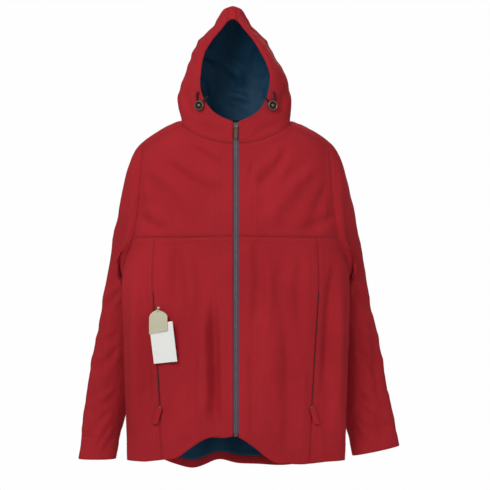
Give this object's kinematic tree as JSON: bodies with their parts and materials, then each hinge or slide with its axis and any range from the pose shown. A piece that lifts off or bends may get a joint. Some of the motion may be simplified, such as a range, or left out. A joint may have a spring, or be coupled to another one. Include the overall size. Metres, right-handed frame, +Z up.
{
  "type": "hooded zip jacket",
  "caption": "Hooded hip-length jacket with a full front zip, zipped hand pockets, hood toggles and swing tags, hung up and zipped to the top.",
  "frame": {"origin": "hook point of the hang loop inside the back neck", "axes": "+Z up along the body, -Y out of the front, +X to the wearer's left"},
  "size_m": [0.7139, 0.194, 1.0139],
  "materials": {
    "shell": "plain woven cotton-nylon shell, matt",
    "lining": "smooth taffeta lining",
    "zip_tape": "woven zip tape",
    "metal": "antique bronze plated",
    "black_tape": "woven black tape and pocket zip",
    "elastic": "braided elastic",
    "tag_cloth": "undyed cotton",
    "tag_card": "coated card, blank",
    "toggle": "bronze-brown moulded toggle",
    "label": "blank woven label"
  },
  "bodies": {
    "body": {"back_panel": "shell", "back_yoke": "shell", "front_centre_left": "shell", "front_centre_right": "shell", "front_side_left": "shell", "front_side_right": "shell", "front_yoke_left": "shell", "front_yoke_right": "shell", "hang_loop": "black_tape", "hem_facing_back": "shell", "hem_facing_left": "shell", "hem_facing_right": "shell", "lining_back": "lining", "lining_front_left": "lining", "lining_front_right": "lining", "neck_label": "label", "pocket_bag_left": "lining", "pocket_bag_right": "lining", "pocket_zip_left": "black_tape", "pocket_zip_right": "black_tape", "tag_thread": "tag_cloth", "zip_end_box": "metal", "zip_tape_left": "zip_tape", "zip_tape_right": "zip_tape", "zip_teeth_left": "metal", "zip_teeth_right": "metal"},
    "hood": {"hood_side_left": "shell", "hood_side_right": "shell", "hood_centre": "shell", "hood_facing": "shell", "lining_hood": "lining", "toggle_left": "toggle", "toggle_right": "toggle", "elastic_left": "elastic", "elastic_right": "elastic", "elastic_end_left": "elastic", "elastic_end_right": "elastic"},
    "arm_left": {"sleeve_left": "shell", "cuff_facing_left": "shell", "lining_sleeve_left": "lining"},
    "arm_right": {"sleeve_right": "shell", "cuff_facing_right": "shell", "lining_sleeve_right": "lining"},
    "slider": {"zip_slider": "metal", "zip_slider_back": "metal"},
    "pull": {"zip_pull": "metal"},
    "pocket_slider_left": {"pocket_slider_left": "metal"},
    "pocket_slider_right": {"pocket_slider_right": "metal"},
    "pocket_pull_left": {"pocket_pull_left": "shell"},
    "pocket_pull_right": {"pocket_pull_right": "shell"},
    "tags": {"tag_cloth": "tag_cloth", "tag_card": "tag_card"}
  },
  "joints": [
    {"name": "zip_run", "type": "slide", "parent": "body", "child": "slider", "axis": [0, 0, -1], "range_m": [0, 0.65]},
    {"name": "zip_pull_swing", "type": "hinge", "parent": "slider", "child": "pull", "pos_m": [0, -0.11417, -0.0225], "axis": [-1, 0, 0], "range_deg": [0, 110]},
    {"name": "hood_back", "type": "hinge", "parent": "body", "child": "hood", "pos_m": [0, 0.0105, -0.012], "axis": [-1, 0, 0], "range_deg": [0, 50]},
    {"name": "sleeve_lift_left", "type": "hinge", "parent": "body", "child": "arm_left", "pos_m": [0.206, -0.0418, -0.043], "axis": [0, -1, 0], "range_deg": [0, 60]},
    {"name": "sleeve_lift_right", "type": "hinge", "parent": "body", "child": "arm_right", "pos_m": [-0.206, -0.0418, -0.043], "axis": [0, 1, 0], "range_deg": [0, 60]},
    {"name": "tag_swing", "type": "hinge", "parent": "body", "child": "tags", "pos_m": [-0.1701, -0.1027, -0.4165], "axis": [-0.9461, 0.324, 0], "range_deg": [0, 60]},
    {"name": "pocket_zip_run_left", "type": "slide", "parent": "body", "child": "pocket_slider_left", "axis": [0.0615, 0.0111, 0.998], "range_m": [0, 0.235]},
    {"name": "pocket_pull_swing_left", "type": "hinge", "parent": "pocket_slider_left", "child": "pocket_pull_left", "pos_m": [0.16704, -0.09774, -0.63405], "axis": [-0.9645, -0.2567, 0.0623], "range_deg": [0, 90]},
    {"name": "pocket_zip_run_right", "type": "slide", "parent": "body", "child": "pocket_slider_right", "axis": [-0.0615, 0.0111, 0.998], "range_m": [0, 0.235]},
    {"name": "pocket_pull_swing_right", "type": "hinge", "parent": "pocket_slider_right", "child": "pocket_pull_right", "pos_m": [-0.16704, -0.09774, -0.63405], "axis": [-0.9645, 0.2567, -0.0623], "range_deg": [0, 90]}
  ]
}
